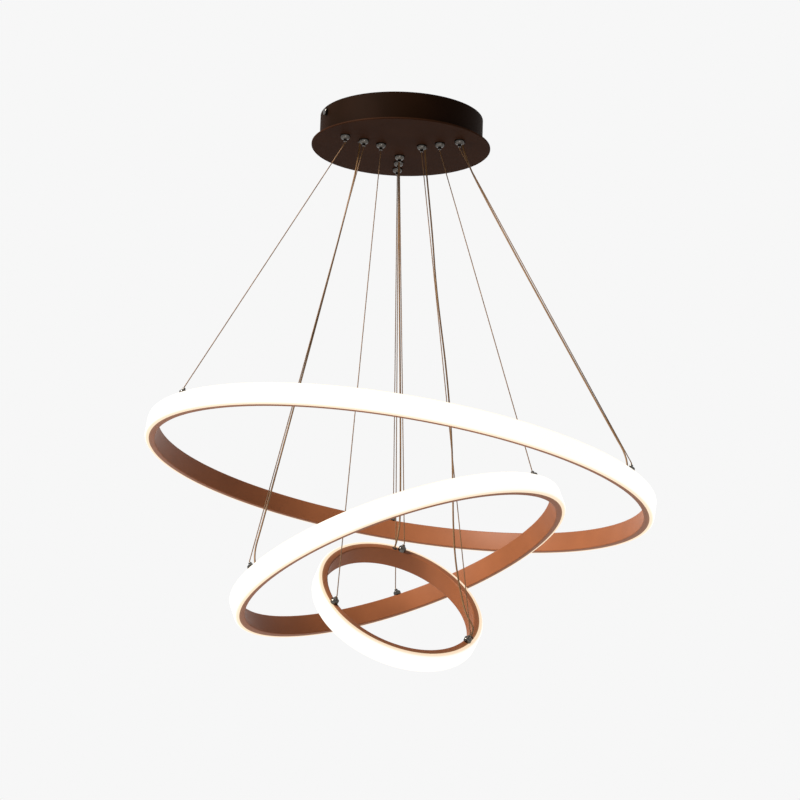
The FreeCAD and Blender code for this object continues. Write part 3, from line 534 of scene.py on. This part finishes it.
# %% Grippers
THREAD_TOP = 13.0          # mm above the face plate's underside, as all numbers of the outline
NOSE_RADIUS, NOSE_DEPTH = 3.3, 5.0
DOME_WIDTH, DOME_DEPTH = 2.7, 4.2
DOME_STEPS = 12
dome = [(2.1, -NOSE_DEPTH), (NOSE_RADIUS, -NOSE_DEPTH, 0.25)]
for step in range(1, DOME_STEPS):
    angle = math.radians(90 * step / DOME_STEPS)
    dome.append((NOSE_RADIUS + DOME_WIDTH * math.sin(angle),
                 -DOME_DEPTH * math.cos(angle) - 0.8 * (1 - step / DOME_STEPS)))
gripper_outline = rounded(dome + [(6.0, 0.0), (4.0, 0.0), (4.0, THREAD_TOP), (0.75, THREAD_TOP),
                                  (0.75, 11.5), (3.2, 11.5), (3.2, 2.0), (2.1, -2.5)])
gripper_mesh = swept_mesh(gripper_outline, ON_AXIS, 48, PAINTED_DARK_CHROME)
gripper_places = []
for ring in RINGS:
    for arm in ARMS:
        tip = gripper_tip(ring, arm)
        gripper_places.append(Matrix.Translation((tip.x, tip.y, plate_low[2])))
grippers = copied("gripper_domes", gripper_mesh, gripper_places, PAINTED_DARK_CHROME)
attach(grippers, "canopy")
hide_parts("gripper_bodies")
print("grippers:", len(gripper_places))

# %% Anchors
anchor_outline = rounded([(0.75, 1.5), (0.75, 7.5), (2.0, 7.5, 0.3), (2.0, 5.6, 0.3), (3.3, 5.0, 0.6),
                          (4.5, 3.8, 0.6), (4.5, 0.0), (1.5, 0.0), (1.5, -3.5), (0.4, -3.5), (0.4, 1.5)])
anchor_outline.reverse()
anchor_mesh = swept_mesh(anchor_outline, ON_AXIS, 40, PAINTED_DARK_CHROME)
for ring in RINGS:
    anchors = copied(ring + "_ring_anchor_barrels", anchor_mesh.copy(),
                     [anchor_matrix(ring, arm) for arm in ARMS], PAINTED_DARK_CHROME)
    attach(anchors, ring + "_ring")
    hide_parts(ring + "_ring_anchors")
print("anchors:", 3 * len(RINGS))

# %% [markdown]
# Inside each gripper a small coil spring pushes the plunger down. A third tree winds it along a
# spiral. It is its own piece with a mesh of its own; the real spring is pressed together when the
# plunger is pushed in.

# %% Springs
COIL, coil_in, coil_out = start_tree("wound_spring", [
    ("Radius", "NodeSocketFloat"), ("Height", "NodeSocketFloat"), ("Turns", "NodeSocketFloat"),
    ("Wire", "NodeSocketFloat"), ("Finish", "NodeSocketMaterial")])
spiral = add(COIL, "GeometryNodeCurveSpiral", {"Resolution": 20})
for source_name, target in (("Radius", "Start Radius"), ("Radius", "End Radius"),
                            ("Height", "Height"), ("Turns", "Rotations")):
    join(COIL, coil_in.outputs[source_name], spiral.inputs[target])
wire_circle = add(COIL, "GeometryNodeCurvePrimitiveCircle", {"Resolution": 8})
join(COIL, coil_in.outputs["Wire"], wire_circle.inputs["Radius"])
wound = add(COIL, "GeometryNodeCurveToMesh", {"Fill Caps": True})
join(COIL, spiral.outputs["Curve"], wound.inputs["Curve"])
join(COIL, wire_circle.outputs["Curve"], wound.inputs["Profile Curve"])
end_tree(COIL, wound.outputs["Mesh"], coil_in, coil_out)

SPRING_WIRE = 0.25 * MM    # half the thickness of the spring's wire
SPRING_RADIUS = 2.4 * MM
SPRING_TURNS = 4.0
for ring in RINGS:
    for arm in ARMS:
        node = "spring_%s_ring_%s" % (ring, arm)
        low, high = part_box(node)
        source = bpy.data.objects.new("spring_source", bpy.data.meshes.new("spring_source"))
        bpy.context.scene.collection.objects.link(source)
        length = high[2] - low[2]
        mesh = run_tree(source, COIL, Radius=SPRING_RADIUS, Height=length - 2 * SPRING_WIRE,
                        Turns=SPRING_TURNS, Wire=SPRING_WIRE, Finish=SPRING)
        face_outwards(mesh)
        middle = ((low[0] + high[0]) / 2, (low[1] + high[1]) / 2, low[2] + SPRING_WIRE)
        mesh.transform(Matrix.Translation(middle))
        spring = placed(node + "_coil", mesh, sharp=80)
        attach(spring, "canopy")
        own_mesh(spring)
        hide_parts(node)
print("springs: %.2f mm long" % (length / MM))

# %% [markdown]
# ## The suspension wires
#
# Each wire is a thin steel rope: six strands twisted round each other. Seen close, the strands
# make a slanting pattern, so the rope's section is a six-lobed star that turns as it goes along.
# A wire stands straight up out of its gripper's plunger and out of its anchor, and between the
# two bends it is pulled dead straight by the ring's weight. The real wire slides up through its
# gripper when the ring is raised. Here the long run stays with the canopy, and the short end in
# the anchor is a piece of its own, which simply goes along with its ring.


# %% Lines with bends
def bent_line(points, radius):
    """Points along straight runs with small arcs of one radius at the corners."""
    line = [points[0]]
    for before, corner, after in zip(points, points[1:], points[2:]):
        first, second = (before - corner).normalized(), (after - corner).normalized()
        half = first.angle(second) / 2
        middle = corner + (first + second).normalized() * radius / math.sin(half)
        start = corner + first * radius / math.tan(half) - middle
        end = corner + second * radius / math.tan(half) - middle
        line += [middle + start.lerp(end, step / BEND_STEPS).normalized() * radius
                 for step in range(BEND_STEPS + 1)]
    return line + [points[-1]]


def spaced(line, gap):
    """The same line with its long runs divided into steps of about one gap."""
    result = [line[0]]
    for start, end in zip(line, line[1:]):
        count = max(1, round((end - start).length / gap))
        result += [start.lerp(end, (step + 1) / count) for step in range(count)]
    return result


def drawn_along(name, line, section_at, finish):
    """A closed tube along a line. section_at(distance) gives its section's points as (x, y)."""
    shape = bmesh.new()
    ahead = (line[1] - line[0]).normalized()
    side = ahead.orthogonal().normalized()
    rings, gone = [], 0.0
    for i, point in enumerate(line):
        if i:
            gone += (point - line[i - 1]).length
        before = (point - line[i - 1]).normalized() if i else ahead
        after = (line[i + 1] - point).normalized() if i < len(line) - 1 else before
        new_ahead = (before + after).normalized()
        side = (side - new_ahead * side.dot(new_ahead)).normalized()
        other = new_ahead.cross(side)
        rings.append([shape.verts.new(point + side * x + other * y) for x, y in section_at(gone)])
    for first, second in zip(rings, rings[1:]):
        for i in range(len(first)):
            after = (i + 1) % len(first)
            shape.faces.new((first[i], first[after], second[after], second[i]))
    shape.faces.new(rings[0][::-1])
    shape.faces.new(rings[-1])
    mesh = bpy.data.meshes.new(name)
    shape.to_mesh(mesh)
    shape.free()
    mesh.materials.append(finish)
    return placed(name, mesh, sharp=80)


# %% Wires
STRANDS = 6
BEND_STEPS = 8
RUN_START, RUN_END = 1 + BEND_STEPS, 2 + BEND_STEPS   # the long run's ends, in a bent line
LAY = 9 * MM               # one full turn of the strands
ROPE_RIDGE, ROPE_GROOVE = 0.66 * MM, 0.54 * MM
WIRE_BEND = 4 * MM
BEND_ROOM = 0.4 * MM
WIRE_TOP = -17.5 * MM      # the tail's end, inside the canopy
ANCHOR_SEAT = 2 * MM       # the wire's end inside its anchor, above the channel


def rope_section(gone):
    turn = 2 * math.pi * gone / LAY
    points = []
    for i in range(2 * STRANDS):
        radius = ROPE_GROOVE if i % 2 else ROPE_RIDGE
        angle = turn + math.pi * i / STRANDS
        points.append((radius * math.cos(angle), radius * math.sin(angle)))
    return points


def follow_the_lift(piece):
    """Gives the hanging part of a wire or cord a mesh of its own."""
    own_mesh(piece)


down = Vector((0, 0, -1))
for ring in RINGS:
    for arm in ARMS:
        tip = gripper_tip(ring, arm)
        seat = anchor_matrix(ring, arm)
        raised = (seat.to_3x3() @ Vector((0, 0, 1))).normalized()
        neck = seat.to_translation() + raised * ANCHOR_NECK
        run = (neck - tip).normalized()
        upper = tip + down * (WIRE_BEND * math.tan(down.angle(run) / 2) + BEND_ROOM)
        lower = neck + raised * (WIRE_BEND * math.tan(run.angle(-raised) / 2) + BEND_ROOM)
        end = seat.to_translation() + raised * ANCHOR_SEAT
        tail = Vector((tip.x, tip.y, WIRE_TOP))
        bent = bent_line([tail, upper, lower, end], WIRE_BEND)
        node = "wire_%s_ring_%s" % (ring, arm)
        long_part, short_part = bent[:RUN_END + 1], bent[RUN_END:]
        wire = drawn_along(node + "_rope", spaced(long_part, 1.5 * MM), rope_section, WIRE)
        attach(wire, "canopy")
        follow_the_lift(wire)
        wire_end = drawn_along(node + "_rope_end", spaced(short_part, 1.0 * MM), rope_section, WIRE)
        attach(wire_end, ring + "_ring")
        for piece in (wire, wire_end):
            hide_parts(node)
    print("%s ring: wires drawn" % ring)

# %% [markdown]
# ## The power cords
#
# Four thin cords bring the current down to the rings, each beside one wire. They are limp, so
# each is a smooth NURBS curve through a few chosen places: out of its driver, down through a
# bush in the canopy, along its wire and into the ring. The tube then follows points read from
# that curve. One of the two cords of the small ring hangs a little slack beside its wire.

# %% Cord routes
CORD_ROUTES = {
    "cord_big_ring": [
        (0.0657, -0.0046, -0.0225), (0.0699, -0.0113, -0.0225), (0.0724, -0.0238, -0.0245),
        (0.0733, -0.0282, -0.029), (0.0733, -0.0282, -0.046), (0.0942, -0.0454, -0.0997),
        (0.2458, -0.1132, -0.3965), (0.2638, -0.1269, -0.432), (0.262, -0.1277, -0.4457)],
    "cord_middle_ring": [
        (-0.0651, -0.01, -0.0225), (-0.0678, -0.0153, -0.0225), (-0.066, -0.0215, -0.0223),
        (-0.0605, -0.0246, -0.0223), (-0.0542, -0.0233, -0.024), (-0.0487, -0.0203, -0.0293),
        (-0.0487, -0.0203, -0.047), (-0.0564, -0.0333, -0.1039), (-0.1399, -0.0952, -0.5109),
        (-0.149, -0.1088, -0.5516), (-0.1442, -0.1108, -0.5644)],
    "cord_small_ring_right": [
        (0.0412, -0.0513, -0.0225), (0.0472, -0.051, -0.0225), (0.052, -0.0468, -0.0223),
        (0.0526, -0.0403, -0.0222), (0.0484, -0.0346, -0.0224), (0.04, -0.027, -0.0222),
        (0.0352, -0.0175, -0.0226), (0.0313, -0.0096, -0.0246), (0.029, -0.005, -0.0294),
        (0.029, -0.005, -0.046), (0.0351, -0.0129, -0.1), (0.0409, -0.0159, -0.15),
        (0.0454, -0.0187, -0.2), (0.052, -0.0214, -0.25), (0.0596, -0.0243, -0.3),
        (0.0655, -0.0271, -0.35), (0.0699, -0.0299, -0.4), (0.0723, -0.0328, -0.45),
        (0.0736, -0.0353, -0.495), (0.0768, -0.0375, -0.535), (0.0826, -0.039, -0.568),
        (0.0898, -0.0405, -0.597), (0.097, -0.0395, -0.609), (0.1003, -0.0395, -0.6167),
        (0.096, -0.0304, -0.626)],
    "cord_small_ring_far": [
        (-0.0368, -0.0546, -0.0225), (-0.0427, -0.0548, -0.0225), (-0.0476, -0.0508, -0.0223),
        (-0.0483, -0.0444, -0.0221), (-0.0442, -0.0386, -0.0223), (-0.037, -0.0306, -0.022),
        (-0.0336, -0.0204, -0.0223), (-0.0315, -0.0075, -0.0218), (-0.0225, 0.008, -0.0222),
        (-0.017, 0.0245, -0.0216), (-0.0105, 0.0338, -0.0229), (-0.0056, 0.0379, -0.025),
        (-0.0017, 0.04, -0.0294), (-0.0017, 0.04, -0.046), (0.0002, 0.0319, -0.11),
        (0.0144, 0.035, -0.47), (0.0112, 0.0315, -0.5065), (0.0069, 0.0407, -0.5159)],
}
CORD_RINGS = {"cord_big_ring": "big", "cord_middle_ring": "middle",
              "cord_small_ring_right": "small", "cord_small_ring_far": "small"}
CORD_DIAMETER = 2 * MM
CORD_SIDES = 14


def smooth_route(name, route):
    """Points read from the NURBS curve that has the route's points as its control points."""
    curve = bpy.data.curves.new(name, "CURVE")
    curve.dimensions = "3D"
    curve.resolution_u = 12
    spline = curve.splines.new("NURBS")
    spline.points.add(len(route) - 1)
    for spot, place in zip(spline.points, route):
        spot.co = (*place, 1.0)
    spline.order_u = 3
    spline.use_endpoint_u = True
    holder = bpy.data.objects.new(name, curve)
    mesh = bpy.data.meshes.new_from_object(holder)
    points = [vertex.co.copy() for vertex in mesh.vertices]
    bpy.data.objects.remove(holder)
    return points


def cord_section(gone):
    return [(CORD_DIAMETER / 2 * math.cos(2 * math.pi * i / CORD_SIDES),
             CORD_DIAMETER / 2 * math.sin(2 * math.pi * i / CORD_SIDES)) for i in range(CORD_SIDES)]


# %% Cords
for node, route in CORD_ROUTES.items():
    line = smooth_route(node, route)
    length = sum((b - a).length for a, b in zip(line, line[1:]))
    cord = drawn_along(node + "_jacket", line, cord_section, CORD)
    ring = CORD_RINGS[node]
    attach(cord, "canopy")
    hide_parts(node)
    follow_the_lift(cord)
    print("%s: %.0f mm" % (node, length / MM))

# %% [markdown]
# ## Finishes on the solid model's own parts
#
# The rest of the solid model is already the right shape: the canopy's sheet metal, the bracket,
# the nuts, the drivers and the plungers. These parts only change their material. The light strips
# get one more finish: a white board with a row of small yellow chips along it.


# %% Light strip finish
CHIP_PITCH = 8 * MM


def strip_finish(ring):
    made, tree, shader = finish_named(ring + "_strip_board", 0.5)
    _, _, local = ring_coordinates(tree, ring)
    split = add(tree, "ShaderNodeSeparateXYZ")
    join(tree, local, split.inputs["Vector"])
    around = add(tree, "ShaderNodeMath", operation="ARCTAN2")
    join(tree, split.outputs["Y"], around.inputs[0])
    join(tree, split.outputs["X"], around.inputs[1])
    pitch = add(tree, "ShaderNodeMath", {1: RINGS[ring]["radius"] / CHIP_PITCH}, operation="MULTIPLY")
    join(tree, around.outputs["Value"], pitch.inputs[0])
    wave = add(tree, "ShaderNodeMath", {1: 1.0}, operation="PINGPONG")
    join(tree, pitch.outputs["Value"], wave.inputs[0])
    colour = ramp(tree, wave.outputs["Value"], [(0.74, srgb(236, 236, 232)),
                                                (0.78, srgb(236, 206, 96))])
    join(tree, colour, shader.inputs["Base Color"])
    bump(tree, shader, wave.outputs["Value"], 0.2, 0.1 * MM)
    return made


# %% Hand the finishes out
NODE_FINISHES = {
    "canopy_drum": PAINT_SHADED_WALL, "canopy_face_plate": PAINT, "canopy_side_screws": PAINTED_DARK_CHROME,
    "ceiling_bracket": ZINC, "driver_nuts": ZINC, "face_plate_nuts": ZINC, "gripper_nuts": PAINTED_DARK_CHROME,
    "terminal_block": TERMINAL, "cord_bushes": RUBBER,
}
for ring in RINGS:
    NODE_FINISHES["led_driver_%s_ring" % ring] = DRIVER
    NODE_FINISHES["%s_ring_light_strip" % ring] = strip_finish(ring)
    NODE_FINISHES["%s_ring_cord_bush" % ring] = RUBBER
    for arm in ARMS:
        NODE_FINISHES["plunger_%s_ring_%s" % (ring, arm)] = PAINTED_DARK_CHROME
for node, finish in NODE_FINISHES.items():
    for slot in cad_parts[node].material_slots:
        slot.material = finish
print("finishes handed out:", len(NODE_FINISHES))

# %% [markdown]
# ## Room and light
#
# The photograph has a plain near-white background. The world shows that white to the camera and
# in reflections, and gives the object a softer, dimmer light. A large lamp stands at the left and
# in front: it makes the right-hand inner faces of the rings bright copper and leaves the
# left-hand ones in shade. A pale floor lies well below and only shows when one looks down.


# %% World
def rays_seen(tree):
    """A socket that is 1 for the camera's own rays and for those in mirrors and glass."""
    path = add(tree, "ShaderNodeLightPath")
    seen = path.outputs["Is Camera Ray"]
    for ray in ("Is Glossy Ray", "Is Transmission Ray"):
        larger = add(tree, "ShaderNodeMath", operation="MAXIMUM")
        join(tree, seen, larger.inputs[0])
        join(tree, path.outputs[ray], larger.inputs[1])
        seen = larger.outputs["Value"]
    return seen


world = bpy.data.worlds.new("pale_studio")
bpy.context.scene.world = world
world.use_nodes = True
studio = world.node_tree
studio.nodes.clear()
white = add(studio, "ShaderNodeBackground", {"Color": (0.93, 0.93, 0.93, 1), "Strength": 1.0})
soft = add(studio, "ShaderNodeBackground", {"Color": (1, 1, 1, 1), "Strength": 0.085})
pick = add(studio, "ShaderNodeMixShader")
join(studio, rays_seen(studio), pick.inputs["Fac"])
join(studio, soft.outputs["Background"], pick.inputs[1])
join(studio, white.outputs["Background"], pick.inputs[2])
join(studio, pick.outputs["Shader"], add(studio, "ShaderNodeOutputWorld").inputs["Surface"])


# %% Lamps
def lamp(name, place, target, width, energy, colour=(1, 1, 1)):
    data = bpy.data.lights.new(name, "AREA")
    data.size = width
    data.energy = energy
    data.color = colour
    made = bpy.data.objects.new(name, data)
    made.location = place
    made.rotation_euler = (Vector(target) - Vector(place)).to_track_quat("-Z", "Y").to_euler()
    bpy.context.scene.collection.objects.link(made)


lamp("key", (-2.0, -1.3, 1.2), (0, 0, -0.45), 1.0, 130, (1.0, 0.95, 0.88))
lamp("fill", (0.3, -2.4, -1.1), (0, 0, -0.1), 0.5, 6)

# %% Floor
FLOOR_SIDES, FLOOR_RADIUS, FLOOR_HEIGHT = 64, 14.0, -1.6
FLOOR_GLOW = 0.62          # seen by the camera and by mirrors, it lights nothing
FLOOR, floor_tree, floor_shader = finish_named("pale_floor", 0.8, 0.0,
                                               {"Emission Color": (1, 1, 1, 1)})
tone = object_noise(floor_tree, 2.0)
join(floor_tree, ramp(floor_tree, tone, [(0.0, (0.78, 0.78, 0.78, 1)), (1.0, (0.84, 0.84, 0.84, 1))]),
     floor_shader.inputs["Base Color"])
glow = add(floor_tree, "ShaderNodeMath", {1: FLOOR_GLOW}, operation="MULTIPLY")
join(floor_tree, rays_seen(floor_tree), glow.inputs[0])
join(floor_tree, glow.outputs["Value"], floor_shader.inputs["Emission Strength"])
floor_mesh = bpy.data.meshes.new("floor")
floor_mesh.from_pydata([(FLOOR_RADIUS * math.cos(2 * math.pi * i / FLOOR_SIDES),
                         FLOOR_RADIUS * math.sin(2 * math.pi * i / FLOOR_SIDES), FLOOR_HEIGHT)
                        for i in range(FLOOR_SIDES)], [], [tuple(range(FLOOR_SIDES))])
floor_mesh.materials.append(FLOOR)
floor = bpy.data.objects.new("floor", floor_mesh)
bpy.context.scene.collection.objects.link(floor)
